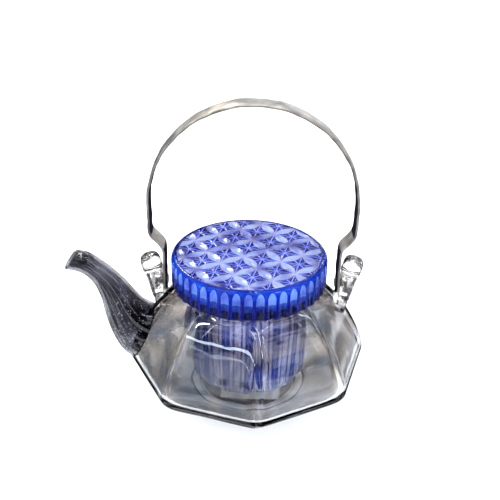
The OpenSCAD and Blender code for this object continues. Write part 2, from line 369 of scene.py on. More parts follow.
def smoky_glass_painted_room(name, dark, warm, light, density, edge, foot=False):
    """Glass with a faint smoky tint of its own, marbled above its base with dark, warm and light patches
    painted in as reflections of a dark room; the patches fade towards the base. foot clears the pot's floor
    and darkens its hollow round the label, as a painted reflection of the dark table.
    """
    material, tree, shader = node_material(name)
    # Painted reflection: the dark, warm and light patches stand in for a dark room seen in the glass.
    painted_room_patches = object_noise(tree, 24, 2.5, 1.6)
    colour = colour_ramp(tree, painted_room_patches, ((0.36, dark), (0.48, warm), (0.62, light)))
    # The painted patches fade to a pale tint towards the base.
    fade_to_base = height_ramp(tree, ((5, (1, 1, 1)), (20, (0.6, 0.6, 0.6)), (32, (0, 0, 0))))
    colour = colour_mix(tree, fade_to_base, colour, (0.90, 0.91, 0.93))
    # Painted rim colour, for the room seen in the glass at its rim.
    colour = painted_rim_tone(tree, colour, edge, 0.35)
    if foot:
        colour = colour_mix(tree, attribute(tree, "pad"), colour, (0.97, 0.97, 0.98))
        # Painted reflection: the foot's hollow round the label is near black, standing in for the dark table
        # that it reflects.
        colour = colour_mix(tree, attribute(tree, "underside"), colour, (0.05, 0.045, 0.06))
    wire(tree, colour, shader.inputs["Base Color"])
    shader.inputs["Roughness"].default_value = 0.0
    shader.inputs["IOR"].default_value = 1.5
    shader.inputs["Transmission Weight"].default_value = 1.0
    add_ripple(tree, shader, 30, 0.34, 0.0018)
    volume = tree.nodes.new("ShaderNodeVolumeAbsorption")
    volume.inputs["Color"].default_value = (0.48, 0.50, 0.52, 1)
    volume.inputs["Density"].default_value = density
    wire(tree, volume.outputs["Volume"], tree.nodes["Material Output"].inputs["Volume"])
    let_lamps_through(tree, shader, (0.985, 0.985, 0.985))
    return material


def cased_material(name, clear_stops, casing_stops, ray, deep, clearness, specular):
    """Glass whose surface is blue where the casing is left and clear where it is cut through."""
    material, tree, shader = node_material(name)
    casing = remap(tree, attribute(tree, "casing"), 0.3, 0.7)
    lines = remap(tree, attribute(tree, "ray"), 0.3, 0.7)
    colour = colour_mix(tree, casing, height_ramp(tree, clear_stops), height_ramp(tree, casing_stops))
    colour = colour_mix(tree, lines, colour, ray)
    depth = remap(tree, object_noise(tree, 75, 3), 0.36, 0.56, 0.8, 0.0)
    wire(tree, colour_mix(tree, depth, colour, deep, "MULTIPLY"), shader.inputs["Base Color"])
    add_ripple(tree, shader, 260, 0.45, 0.0006)
    shader.inputs["Roughness"].default_value = 0.04
    shader.inputs["IOR"].default_value = 1.52
    shader.inputs["Specular IOR Level"].default_value = specular
    shader.inputs["Transmission Weight"].default_value = clearness
    let_lamps_through(tree, shader, (0.96, 0.97, 0.99))
    return material


def handle_material():
    """Satin strip with fine brushing, soft hammer marks, warm and grey patches, and an inner face painted
    near black and bare of metal, as painted shade.
    """
    material, tree, shader = node_material("handle_metal")
    patches = object_noise(tree, 130, 8)
    bright = colour_ramp(tree, patches, ((0.3, (0.26, 0.238, 0.215)), (0.7, (0.70, 0.645, 0.57))))
    # Painted shade: where the inner mark is set, the strip is near black and not metal.
    inner = attribute(tree, "inner")
    wire(tree, colour_mix(tree, inner, bright, (0.02, 0.02, 0.028)), shader.inputs["Base Color"])
    wire(tree, remap(tree, patches, 0.0, 1.0, 0.30, 0.50), shader.inputs["Roughness"])
    bare = tree.nodes.new("ShaderNodeMath")
    bare.operation = "SUBTRACT"
    bare.inputs[0].default_value = 1.0
    wire(tree, inner, bare.inputs[1])
    wire(tree, bare.outputs["Value"], shader.inputs["Metallic"])
    shader.inputs["Specular IOR Level"].default_value = 0.0
    coords = tree.nodes.new("ShaderNodeTexCoord")
    hammer = tree.nodes.new("ShaderNodeTexVoronoi")
    hammer.inputs["Scale"].default_value = 420
    hammer.feature = "SMOOTH_F1"
    wire(tree, coords.outputs["Object"], hammer.inputs["Vector"])
    marks = tree.nodes.new("ShaderNodeMath")
    marks.operation = "MULTIPLY_ADD"
    marks.inputs[1].default_value = 0.25
    wire(tree, object_noise(tree, 2200, 2.0), marks.inputs[0])
    wire(tree, hammer.outputs["Distance"], marks.inputs[2])
    add_bump(tree, shader, marks.outputs["Value"], 0.35, 0.0004)
    return material


def plain_metal(name, colour, roughness, ripple, ripple_height):
    """Metal of one colour. It serves the ground cuts too, which flash like small mirrors."""
    material, tree, shader = node_material(name)
    shader.inputs["Base Color"].default_value = (*colour, 1)
    shader.inputs["Metallic"].default_value = 1.0
    shader.inputs["Roughness"].default_value = roughness
    add_ripple(tree, shader, 900, ripple, ripple_height)
    return material


def paper_material():
    """Uncoated label paper with a faint fibre mottle."""
    material, tree, shader = node_material("label_paper")
    fibre = object_noise(tree, 500, 6)
    wire(tree, colour_ramp(tree, fibre, ((0, (0.97, 0.97, 0.98)), (1, (0.98, 0.98, 1.0)))),
         shader.inputs["Base Color"])
    shader.inputs["Roughness"].default_value = 0.85
    return material


# Painted reflection and shade: the body's patches and near-black rim, and the spout's near-black smoke and
# denser absorption, stand in for a dark room seen in clear glass; the spout's lighter rim is painted light.
GLASS = smoky_glass_painted_room(
    "clear_glass", dark=(0.26, 0.285, 0.33), warm=(0.57, 0.51, 0.45), light=(0.89, 0.90, 0.93),
    density=18, edge=(0.008, 0.008, 0.012), foot=True)
SPOUT_GLASS = smoky_glass_painted_room(
    "spout_glass", dark=(0.012, 0.012, 0.028), warm=(0.08, 0.072, 0.09), light=(0.34, 0.34, 0.38),
    density=90, edge=(0.45, 0.45, 0.45))
# The lug's rim is painted near black, as painted shade.
LUG_GLASS = glass_material("lug_glass", (0.82, 0.80, 0.78), edge=0.02, ripple=0.7)
# Frosted near-white glass: its whiteness on the foot rim and on the spout's bubbles gives painted highlights.
RIM_GLASS = glass_material("ground_glass", (0.97, 0.98, 1.0), edge=0.9, clearness=0.3, roughness=0.35)
CUT_GLASS = plain_metal("star_cut_glass", (0.90, 0.94, 1.0), 0.22, 0.5, 0.0003)
CUP_GLASS = cased_material(
    "cup_glass",
    clear_stops=((11, (0.86, 0.90, 1.0)), (40, (0.74, 0.72, 0.88)), (66, (0.56, 0.54, 0.74))),
    casing_stops=((11, (0.004, 0.03, 0.42)), (40, (0.002, 0.014, 0.28)), (66, (0.002, 0.008, 0.22))),
    ray=(0.55, 0.64, 1.0), deep=(0.62, 0.60, 0.80), clearness=0.78, specular=0.5)
# Painted shade and light by height: the skirt is near black below 70 mm, where it hangs over the pot's neck,
# and pale blue above 74 mm, where light from inside shows through, and the casing darkens downwards with it;
# the bands stand in for what lies behind the skirt.
LID_GLASS = cased_material(
    "lid_glass",
    clear_stops=((65, (0.003, 0.007, 0.09)), (70.0, (0.003, 0.008, 0.09)), (70.5, (0.010, 0.05, 0.36)),
                 (73.6, (0.03, 0.10, 0.50)), (74.1, (0.18, 0.34, 0.88)), (80.5, (0.25, 0.42, 0.95)),
                 (81.4, (0.42, 0.39, 0.41))),
    casing_stops=((65, (0.001, 0.008, 0.20)), (71, (0.001, 0.012, 0.32)), (77, (0.001, 0.024, 0.44)),
                  (80.0, (0.001, 0.050, 0.50)), (81.3, (0.002, 0.040, 0.36)), (81.4, (0.012, 0.012, 0.16))),
    ray=(0.30, 0.34, 0.80), deep=(0.22, 0.18, 0.45), clearness=0.45, specular=0.2)
METAL = handle_material()
PIN_METAL = plain_metal("pin_metal", (0.30, 0.29, 0.28), 0.35, 0.3, 0.0002)
PAPER = paper_material()


# ---------------------------------------------------------------- pot body
def octagon_radius(angle, crispness):
    """Outline of an eight-sided figure with corners at radius 1, softened when crispness is low."""
    apothem = math.cos(math.pi / CORNERS)
    total = np.zeros_like(angle)
    for k in range(CORNERS):
        facing = angle - (k + 0.5) * TAU / CORNERS
        total += np.maximum(np.cos(facing), 0) ** crispness
    return apothem / total ** (1 / crispness)


def faceted_ring(radius, z, facet, crispness, sides):
    """An outline between a circle, at facet 0, and the eight-sided figure, at facet 1."""
    angle = np.linspace(0, TAU, sides, endpoint=False)
    outline = facet * octagon_radius(angle, crispness) + (1 - facet)
    r = radius * outline
    return np.stack([r * np.cos(angle), r * np.sin(angle), np.full(sides, z)], 1)


def corner_curve(inset, base_z, top_z, tuck=1.0, steps=24):
    """Radius, height and facet share along one corner, from just above the foot to just under the neck."""
    t = np.linspace(90, 0, steps)
    c, s = np.cos(np.radians(t)) ** BEND, np.sin(np.radians(t)) ** BEND
    low_r = FOOT_R - tuck - inset + (BELT_R - FOOT_R + tuck) * c
    low_z = BELT_Z - (BELT_Z - base_z) * s
    t = np.linspace(0, 90, steps)[1:]
    c, s = np.cos(np.radians(t)) ** BEND, np.sin(np.radians(t)) ** BEND
    top_r = NECK_R - tuck - inset + (BELT_R - NECK_R + tuck) * c
    top_zs = BELT_Z + (top_z - BELT_Z) * s
    return [(r, z, 1) for r, z in zip([*low_r, *top_r], [*low_z, *top_zs])]


def build_pot_body():
    """The faceted shell on its foot ring, open at the mouth and pierced behind the spout."""
    sides = 240
    hollow_r = FOOT_R - FOOT_RING_W
    outside = [
        (0.5, FOOT_LIFT, 0), (hollow_r - 1, FOOT_LIFT, 0), (hollow_r, 0.0, 0),
        (FOOT_R - 0.4, 0.0, 0), (FOOT_R, 1.4, 0), (FOOT_R + 0.5, 2.2, 0.4),
        *corner_curve(0, FOOT_LIFT + 0.5, SHOULDER_Z)[3:-4],
        (NECK_R + 0.6, SHOULDER_Z - 1, 0.35), (NECK_R, SHOULDER_Z + 1.5, 0), (NECK_R, MOUTH_Z, 0),
        (BORE_R, MOUTH_Z, 0)]
    inside = [
        (BORE_R, MOUTH_Z - 8, 0), (BORE_R + 1.0, SHOULDER_Z - WALL - 1.5, 0.3),
        *corner_curve(WALL, FLOOR_Z, SHOULDER_Z - WALL)[3:-6][::-1],
        (FOOT_R - WALL - 3, FLOOR_Z, 0), (0.5, FLOOR_Z, 0)]
    rings = [faceted_ring(r, z, f, OUTER_CRISPNESS, sides) for r, z, f in softened(outside, 1.2, 0.45)]
    rings += [faceted_ring(r, z, f, INNER_CRISPNESS, sides) for r, z, f in softened(inside, 1.6, 0.9)]
    points, faces = skin(rings, True, True)
    radius, height = np.hypot(points[:, 0], points[:, 1]), points[:, 2]
    off_label = moved(points - np.array([*LABEL_AT, 0]), Matrix.Rotation(-LABEL_TURN, 4, "Z"))
    over_label = (np.abs(off_label[:, 0]) < LABEL_W / 2) & (np.abs(off_label[:, 1]) < LABEL_D / 2)
    in_hollow = (radius < hollow_r - 0.4) & (np.abs(height - FOOT_LIFT) < 0.1)
    # The first mark is the foot's hollow round the label, painted near black as a reflection of the dark
    # table.
    marks = {"underside": in_hollow & ~over_label, "pad": (radius < FOOT_R) & (height < FLOOR_Z + 0.3)}
    pot = make_piece("clear_pot", points, faces, "pot", "clear_glass", GLASS, ["pot_body"], marks)
    cut(pot, cutting_cylinder(POUR_HOLE_R, POUR_HOLE_FROM, POUR_HOLE_TO))


def pot_outside():
    """The pot's outer surface as a closed solid, for trimming what is fused to it."""
    curve = softened(corner_curve(0, FOOT_LIFT + 0.5, SHOULDER_Z), 1.2, 0.45)
    return cutting_tool([faceted_ring(r + FUSED_GAP, z, f, OUTER_CRISPNESS, 160) for r, z, f in curve])


# ---------------------------------------------------------------- spout
def spline(values, u):
    """Catmull-Rom curve through a list of rows, at u from 0 to the last row."""
    values = np.asarray(values, float)
    last = len(values) - 1
    k = min(int(u), last - 1)
    t = u - k
    a, b, c, d = values[max(k - 1, 0)], values[k], values[k + 1], values[min(k + 2, last)]
    return 0.5 * (2 * b + (c - a) * t + (2 * a - 5 * b + 4 * c - d) * t**2 + (3 * b - a - 3 * c + d) * t**3)


def spout_ring(u, inset, push=0):
    """The spout's outline at section u, made smaller by inset and moved out along the spout by push."""
    low_x, low_z, high_x, high_z, half_w = spline(SPOUT_SECTIONS, u)
    low, high = np.array([low_x, low_z]), np.array([high_x, high_z])
    along = (high - low) / np.linalg.norm(high - low)
    mid = (low + high) / 2 + push * np.array([-along[1], along[0]])
    half_h = np.linalg.norm(high - low) / 2 - inset
    angle = np.linspace(0, TAU, SPOUT_SIDES, endpoint=False)
    x = mid[0] + along[0] * half_h * np.cos(angle)
    z = mid[1] + along[1] * half_h * np.cos(angle)
    return np.stack([x, (half_w - inset) * np.sin(angle), z], 1)


def build_spout():
    """The hollow tube from the pot's corner to a rounded lip."""
    tip, half = len(SPOUT_SECTIONS) - 1, SPOUT_WALL / 2
    stops = np.linspace(0, tip, 70)
    outer = [spout_ring(u, 0) for u in stops]
    lip = [spout_ring(tip, half - half * math.cos(a), half * math.sin(a))
           for a in np.radians(np.linspace(15, 165, 7))]
    inner = [spout_ring(u, SPOUT_WALL) for u in stops[::-1]]
    spout = make_piece("pouring_spout", *skin(outer + lip + inner, closed_loop=True),
                       "pot", "clear_glass", SPOUT_GLASS, ["spout"])
    cut(spout, pot_outside())


# ---------------------------------------------------------------- lugs and handle
def handle_matrix(side):
    """From the handle's own frame to the pot's. side is 1 for the far end and -1 for the spout's."""
    turn = Matrix.Rotation(HANDLE_TURN, 4, "Z")
    shift = Matrix.Translation((HANDLE_SHIFT, 0, 0))
    half_turn = Matrix.Rotation(0 if side > 0 else math.pi, 4, "Z")
    return turn @ shift @ half_turn


def lug_rings():
    """The lug's own shape on its root: a plinth, a squarish stem, and a domed knob."""
    half_x, half_y = LUG_W / 2, LUG_D / 2
    # half x, half y, height above the root, squareness
    stack = [(half_x + 0.6, half_y + 0.8, -4.0, 2.4), (half_x + 0.6, half_y + 0.8, 2.6, 2.4),
             (half_x + 0.2, half_y + 0.4, 4.0, 2.8), (half_x - 0.3, half_y - 0.3, 4.8, 5.0),
             (half_x, half_y, 5.6, 7.0), (half_x, half_y, KNOB_UP - 6.3, 7.0),
             (half_x - 0.8, half_y - 0.9, KNOB_UP - 5.4, 4.0),
             (KNOB_R - 0.1, KNOB_R - 0.1, KNOB_UP - 4.9, 2.2),
             (KNOB_R + 0.1, KNOB_R + 0.1, KNOB_UP - 4.2, 2.1), (KNOB_R, KNOB_R, KNOB_UP + 0.6, 2.1)]
    for a in np.radians(np.linspace(10, 86, 10)):
        dome_r = KNOB_R * math.cos(a) ** 0.6
        stack.append((dome_r, dome_r, KNOB_UP + 0.4 + 3.4 * math.sin(a), 2.1))
    return [superellipse_ring(*row, 40) for row in stack]


def build_lug(name, side, node):
    """A leaning glass ear with a cross window, a flat inner side for the strip, and a bore for its pin."""
    upright = handle_matrix(side)
    leaning = upright @ Matrix.Translation((LUG_ROOT_X, 0, LUG_ROOT_Z)) @ Matrix.Rotation(LUG_LEAN, 4, "Y")
    lug = make_piece(name, *skin([moved(ring, leaning) for ring in lug_rings()], True, True),
                     "pot", "clear_glass", LUG_GLASS, [node])
    window_up = (PIVOT_Z - LUG_ROOT_Z) / math.cos(LUG_LEAN)
    crosswise = Matrix.Translation((0, 0, window_up)) @ Matrix.Rotation(math.pi / 2, 4, "X")
    through = 8
    window = [superellipse_ring(WINDOW_W / 2, WINDOW_H / 2, y, 5, 32) for y in (-through, through)]
    cut(lug, cutting_tool([moved(ring, leaning @ crosswise) for ring in window]))
    shave_x, shave_y = 15, 10
    shave = [superellipse_ring(shave_x, shave_y, z, 8, 24) + np.array([LUG_FLAT_X - shave_x, 0, 0])
             for z in (PIVOT_Z - 7, PIVOT_Z + 25)]
    cut(lug, cutting_tool([moved(ring, upright) for ring in shave]))
    bore_ends = moved([(x, 0, PIVOT_Z) for x in (LEG_X - 3.8, LEG_X + 6.2)], upright)
    cut(lug, cutting_cylinder(PIN_R + 0.15, *bore_ends))
    cut(lug, pot_outside())
    soften = lug.modifiers.new("fire_polish", "REMESH")
    soften.mode = "VOXEL"
    soften.voxel_size = 0.24 * MM
    relax = lug.modifiers.new("relax", "SMOOTH")
    relax.factor, relax.iterations = 0.5, 3
    apply_modifiers(lug)


def bail_path():
    """Middle line of the strip in the handle's own plane, as x and z, from one end to the other."""
    arch_r, leg_x, jog_top = BAIL_R - STRIP_T / 2, LEG_X + STRIP_T / 2, ARCH_Z - LEG_DROP
    leg = [(leg_x, PIVOT_Z - STRIP_W / 2), (leg_x, jog_top - JOG_H), (arch_r, jog_top)]
    arch = [(arch_r * math.cos(a), ARCH_Z + arch_r * math.sin(a)) for a in np.linspace(0, math.pi, 91)]
    return np.array(leg + arch + [(-x, z) for x, z in leg[::-1]])


def build_bail():
    """The hammered strip: round ends, an inward jog above each lug, and an arch over the lid."""
    path = softened(bail_path(), 0.9, 2.1)
    tangent = np.gradient(path, axis=0)
    tangent /= np.linalg.norm(tangent, axis=1)[:, None]
    normal = np.stack([tangent[:, 1], -tangent[:, 0]], 1)
    length = np.concatenate([[0], np.cumsum(np.linalg.norm(np.diff(path, axis=0), axis=1))])
    from_end = np.minimum(length, length[-1] - length)
    end_share = np.clip(from_end / (STRIP_W / 2), 0.02, 1)
    half_w = STRIP_W / 2 * np.sqrt(np.clip(1 - (1 - end_share) ** 2, 0.01, 1))
    rng = np.random.default_rng(11)
    dents = sum(np.sin(length * TAU / wave + rng.uniform(0, TAU)) * size for wave, size in DENTS)
    section = superellipse_ring(1, 1, 0, 4.5, 28)
    crown = 0.10 * (1 - section[:, 0] ** 2) * np.sign(section[:, 1])
    rings = []
    for k in range(len(path)):
        edge = 1 + 0.012 * math.sin(length[k] * 0.9) + 0.01 * math.sin(length[k] * 0.37 + 1)
        thick = section[:, 1] * STRIP_T / 2 + crown + dents[k]
        x = path[k, 0] + normal[k, 0] * thick
        z = path[k, 1] + normal[k, 1] * thick
        rings.append(np.stack([x, section[:, 0] * half_w[k] * edge, z], 1))
    points, faces = skin(rings, True, True)
    # Painted shade: the strip's inner face is marked to be painted dark, only faintly on the jogs.
    shaded_inner_side = np.clip(-section[:, 1] * 3 - 1.0, 0, 1)
    on_jog = np.abs(path[:, 1] - (ARCH_Z - LEG_DROP - JOG_H / 2)) < JOG_H / 2 + 0.3
    inner = np.concatenate([np.outer(np.where(on_jog, 0.15, 1.0), shaded_inner_side).ravel(), np.zeros(2)])
    make_piece("metal_bail", moved(points, handle_matrix(1)), faces, "bail", "handle_metal", METAL,
               ["bail_handle"], {"inner": inner})


def build_pin(name, side, node):
    """A rivet with a low head inside the strip and a thicker one in the lug's window."""
    window_x = LUG_ROOT_X + (PIVOT_Z - LUG_ROOT_Z) * math.tan(LUG_LEAN)
    inner, head_start, outer = LEG_X - 0.8, window_x - HEAD_T / 2, window_x + HEAD_T / 2
    profile = [(0.3, inner), (PIN_R, inner + 0.1), (PIN_R + 0.8, inner + 0.35), (PIN_R + 1.0, LEG_X - 0.05),
               (PIN_R, LEG_X), (PIN_R, head_start), (HEAD_R - 0.25, head_start), (HEAD_R, head_start + 0.25),
               (HEAD_R, outer - 0.5), (HEAD_R - 0.4, outer - 0.1), (0.3, outer)]
    points, faces = skin(turned(softened(profile, 0.2, 0.08), 40), True, True)
    place = handle_matrix(side) @ Matrix.Translation((0, 0, PIVOT_Z)) @ Matrix.Rotation(math.pi / 2, 4, "Y")
    make_piece(name, moved(points, place), faces, "bail", "pin_metal", PIN_METAL, [node])


# ---------------------------------------------------------------- ice cup
def round_profile(centre_r, centre_z, radius, start, end, steps):
    """(radius, height) pairs along an arc, between two angles in degrees."""
    return [(centre_r + radius * math.cos(a), centre_z + radius * math.sin(a))
            for a in np.radians(np.linspace(start, end, steps))]


CUP_BASE_ARC = round_profile(CUP_BASE_R - 1, CUP_BASE_Z + CUP_BASE_ROUND, CUP_BASE_ROUND, -60, 0, 9)


def from_middle(sides, pitch):
    """Goes from 1 where a pitch starts to 0 at its middle, round a ring of points."""
    return np.abs((np.arange(sides) / pitch) % 1 - 0.5) * 2


def flute_share(r):
    """Share of their full depth that the cup's flutes have at a radius."""
    return np.clip((r - CUP_FADE_R) / CUP_FADE_W, 0, 1)


def build_cup():
    """The cased cup: flutes and thin lines cut up its side, a star-cut base and a plain flange."""
    per_flute, flute_depth, star_depth = 26, 1.0, 1.6
    line_half, line_depth, thin_line_at, thin_line_half = 0.05, 0.22, 0.34, 0.06
    sides = CUP_FLUTES * per_flute
    angle = np.linspace(0, TAU, sides, endpoint=False) + CUP_PHASE
    across = from_middle(sides, per_flute)
    scoop = np.where(across < CUP_PANEL, flute_depth * (1 - (across / CUP_PANEL) ** 2), 0)
    line = line_depth * np.clip(1 - (1 - across) / line_half, 0, 1)
    thin_line = np.abs(across - thin_line_at) < thin_line_half
    star = from_middle(sides, sides / BASE_STAR_RAYS)
    bore_r, flange_r, inner_round = CUP_R - CUP_WALL, NECK_R - 0.4, CUP_BASE_ROUND - 1.5
    outer = softened([(0.5, CUP_BASE_Z), (CUP_BASE_R - 5, CUP_BASE_Z), (CUP_BASE_R, CUP_BASE_Z),
                      *CUP_BASE_ARC, (CUP_R - 0.6, CUP_TAPER_Z), (CUP_R, CUP_STRAIGHT_Z),
                      (CUP_R, MOUTH_Z + 0.3)], 0.9, 0.5)
    flange = softened([(flange_r, MOUTH_Z + 0.3), (flange_r, MOUTH_Z + 3.3), (flange_r - 1.2, CUP_TOP_Z),
                       (bore_r, CUP_TOP_Z)], 0.8, 0.3)
    inner = softened([(bore_r, CUP_STRAIGHT_Z), (bore_r - 0.8, CUP_TAPER_Z),
                      *round_profile(CUP_BASE_R - 4, CUP_BASE_Z + CUP_BASE_ROUND + 3, inner_round, 0, -90, 9),
                      (0.5, CUP_BASE_Z + 4.5)], 1.8, 0.8)
    rings, casing, rays = [], [], []

    def add_ring(radius, height, blue, ray):
        rings.append(np.stack([radius * np.cos(angle), radius * np.sin(angle), height], 1))
        casing.append(blue)
        rays.append(ray)

    for r, z in outer:
        cut_in = flute_share(r) * (1 - np.clip((z - CUP_CUT_TOP_Z + 1.5) / 3, 0, 1))
        star_lift = star_depth * (1 - star) * np.clip((CUP_BASE_R + 3 - r) / 4, 0, 1) * np.clip(r / 4, 0, 1)
        is_side = (r > CUP_CUT_R) * (z < CUP_CUT_TOP_Z)
        blue = (scoop * cut_in < 0.1) * is_side
        thin_blue = thin_line * (r > CUP_CUT_R + 3.5) * (z > CUP_BASE_Z + 6) * (z < CUP_CUT_TOP_Z)
        add_ring(r - (scoop + line) * cut_in, np.full(sides, z) + star_lift * (z < CUP_BASE_Z + 3),
                 np.maximum(blue, thin_blue), np.clip(line * 6, 0, 1) * is_side * 0.6)
    for r, z in np.vstack([flange, inner]):
        add_ring(np.full(sides, r), np.full(sides, z), np.zeros(sides), np.zeros(sides))
    poles = [np.zeros(2)]
    make_piece("cut_ice_cup", *skin(rings, True, True), "cup", "cased_glass", CUP_GLASS, ["ice_cup"],
               {"casing": np.concatenate(casing + poles), "ray": np.concatenate(rays + poles)})


def ground_stroke(path, angle):
    """A thin ridge that tapers at both ends and follows the cup's fluted wall at one angle."""
    half_w, ridge_h, root_h = 0.30, 0.22, 0.10
    flute = abs((angle - CUP_PHASE) / (TAU / CUP_FLUTES) % 1 - 0.5) * 2
    rings = []
    for j, (r, z) in enumerate(path):
        half = half_w * math.sin(math.pi * (j + 0.5) / len(path)) + 0.02
        sunk = max(0, 1 - (flute / CUP_PANEL) ** 2) * flute_share(r) - 0.03
        rings.append(np.array([((r - sunk + up) * math.cos(angle) - side * math.sin(angle),
                                (r - sunk + up) * math.sin(angle) + side * math.cos(angle), z)
                               for side, up in ((-half, 0), (0, ridge_h), (half, 0), (0, -root_h))]))
    return skin(rings, True, True)


def build_cup_cuts():
    """The star cut: fine ground strokes that run from the cup's base up its panels."""
    rng = np.random.default_rng(8)
    curve = softened([(6.0, CUP_BASE_Z), (CUP_BASE_R, CUP_BASE_Z), *CUP_BASE_ARC,
                      (CUP_R - 1.1, CUP_TAPER_Z), (CUP_R - 0.9, CUP_STRAIGHT_Z)], 0.9, 0.5)
    count = CUP_FLUTES * 8
    strokes = []
    for k in range(count):
        angle = (k + rng.uniform(-0.25, 0.25)) * TAU / count
        first = int(rng.uniform(0, 12))
        last = first + int(rng.uniform(14, 34))
        strokes.append(ground_stroke(curve[first:last], angle))
    make_piece("ground_star_cuts", *joined(strokes), "cup", "cased_glass", CUT_GLASS)


# ---------------------------------------------------------------- lid
CELL = 13.5                      # pitch of the interlocking circles
LATTICE_TURN = math.radians(26)
LATTICE_SHIFT = (0.35, 0.15)     # in cells
PETAL_SLOPE = 0.24
RAY_HALF_W, RAY_DEPTH = 0.50, 0.22
LID_PHASE = math.radians(-1.1)


def cut_top(x, y):
    """Depths of the interlocking-circle cut and of the eight-rayed star cuts at points on the lid's top."""
    c, s = math.cos(LATTICE_TURN), math.sin(LATTICE_TURN)
    u = (x * c + y * s) / CELL + LATTICE_SHIFT[0]
    v = (-x * s + y * c) / CELL + LATTICE_SHIFT[1]
    u, v = u - np.floor(u) - 0.5, v - np.floor(v) - 0.5
    big, small = np.maximum(np.abs(u), np.abs(v)), np.minimum(np.abs(u), np.abs(v))
    petal = PETAL_SLOPE * CELL * np.clip(math.sqrt(0.5) - np.hypot(1 - big, small), 0, None)
    reach, angle = np.hypot(u, v) * CELL, np.arctan2(v, u)
    side = reach * np.abs(np.sin((angle + TAU / 16) % (TAU / 8) - TAU / 16))
    ray = np.clip(1 - side / RAY_HALF_W, 0, 1) * (petal < 0.08)
    return petal, ray


def build_lid():
    """The cased lid: a cut flat top, a round shoulder, and a skirt cut in arched flutes."""
    per_flute, flute_depth = 16, 0.8
    arch_half, arch_top, arch_h = 0.64, LID_TOP_Z - 0.9, 3.0
    line_half, line_depth, line_top = 0.10, 0.12, 77.0
    sides = LID_FLUTES * per_flute
    angle = np.linspace(0, TAU, sides, endpoint=False) + LID_PHASE
    across = from_middle(sides, per_flute)
    line = line_depth * np.clip(1 - (1 - across) / line_half, 0, 1)
    flat_r, shoulder_z, bore_r = LID_R - LID_SHOULDER, LID_TOP_Z - LID_SHOULDER, LID_R - SKIRT_WALL
    rings, casing, rays = [], [], []

    def add_ring(radius, height, blue=0.0, ray=0.0):
        level = np.broadcast_to(height, (sides,))
        rings.append(np.stack([radius * np.cos(angle), radius * np.sin(angle), level], 1))
        casing.append(np.broadcast_to(blue, (sides,)))
        rays.append(np.broadcast_to(ray, (sides,)))

    for r in np.concatenate([np.linspace(0.3, 3, 7), np.arange(3.4, flat_r - 0.2, 0.4)]):
        petal, ray = cut_top(r * np.cos(angle), r * np.sin(angle))
        inside = 1.0 if r < flat_r - 0.5 else 0.0
        add_ring(np.full(sides, r), LID_TOP_Z - np.maximum(petal, RAY_DEPTH * ray) * inside,
                 petal * inside < 0.06, ray * inside)
    wall_z = np.concatenate([np.linspace(shoulder_z - 0.3, 74, 10), np.linspace(73, LID_SKIRT_Z + 0.3, 9)])
    for r, z in round_profile(flat_r, shoulder_z, LID_SHOULDER, 90, 0, 14) + [(LID_R, z) for z in wall_z]:
        up_arch = min(1, max(0, (z - (arch_top - arch_h)) / arch_h))
        half = arch_half * math.sqrt(max(0, 1 - up_arch ** 2))
        round_cut = flute_depth * np.sqrt(np.clip(1 - (across / max(half, 0.01)) ** 2, 0, 1))
        scoop = np.where(across < half, round_cut, 0) * min(1, max(0, (arch_top - z) / 1.2))
        add_ring(r - scoop - line * (z < line_top), z, scoop < 0.07)
    add_ring(LID_R - 0.5 - scoop, LID_SKIRT_Z)
    add_ring(np.full(sides, bore_r + 0.4), LID_SKIRT_Z)
    for z in np.linspace(LID_SKIRT_Z + 0.4, LID_UNDER_Z - 0.6, 5):
        add_ring(np.full(sides, bore_r), z)
    for r in (bore_r - 0.5, 30.0, 20.0, 10.0, 1.0):
        add_ring(np.full(sides, r), LID_UNDER_Z)
    poles = [np.zeros(2)]
    make_piece("cut_lid", *skin(rings, True, True), "lid", "blue_glass", LID_GLASS, ["lid"],
               {"casing": np.concatenate(casing + poles), "ray": np.concatenate(rays + poles)})


# ---------------------------------------------------------------- label and small glass details
def build_label():
    """The blank paper label under the foot's hollow."""
    half_t = LABEL_T / 2
    rings = [superellipse_ring(LABEL_W / 2 - inset, LABEL_D / 2 - inset, z, 40, 160)
             for inset, z in ((0.05, -half_t), (0, 0.04 - half_t), (0, half_t - 0.04), (0.05, half_t))]
    points, faces = skin(rings, True, True)
    label_z = FOOT_LIFT - half_t - 0.08
    place = Matrix.Translation((*LABEL_AT, label_z)) @ Matrix.Rotation(LABEL_TURN, 4, "Z")
    make_piece("blank_label", moved(points, place), faces, "pot", "label_paper", PAPER, ["base_label"])


def build_foot_rim():
    """The ground contact edge under the foot ring, matt where it was flattened; its frosted white also makes
    the bright ring round the foot, as a painted highlight.
    """
    inner, outer, slope, thick = 27.0, 30.7, 0.3, 0.05
    profile = [(inner, 0.02), (inner + slope, 0), (outer - slope, 0), (outer, 0.02), (outer - slope, thick),
               (inner + slope, thick)]
    make_piece("ground_foot_rim", *skin(turned(profile, 160), closed_loop=True),
               "pot", "clear_glass", RIM_GLASS)


def build_bubble_glints():
    """Tiny frosted bubbles in the spout's wall near the root, which stand in for the spout's white sparkles
    as painted highlights.
    """
    rng = np.random.default_rng(5)
    latitudes = np.radians((-60, -20, 20, 60))
    balls = []
    for _ in range(150):
        u = 1.2 + abs(rng.normal(0, 1.7))
        if u > len(SPOUT_SECTIONS) - 2:
            continue
        ring = spout_ring(u, SPOUT_WALL * rng.uniform(0.25, 0.75))
        centre = ring[int(rng.uniform(34, 62))]
        size = rng.uniform(0.10, 0.30)
        profile = [(size * math.cos(a), size * math.sin(a)) for a in latitudes]
        points, faces = skin(turned(profile, 8), True, True)
        balls.append((points + centre, faces))
    make_piece("bubble_glints", *joined(balls), "pot", "clear_glass", RIM_GLASS)


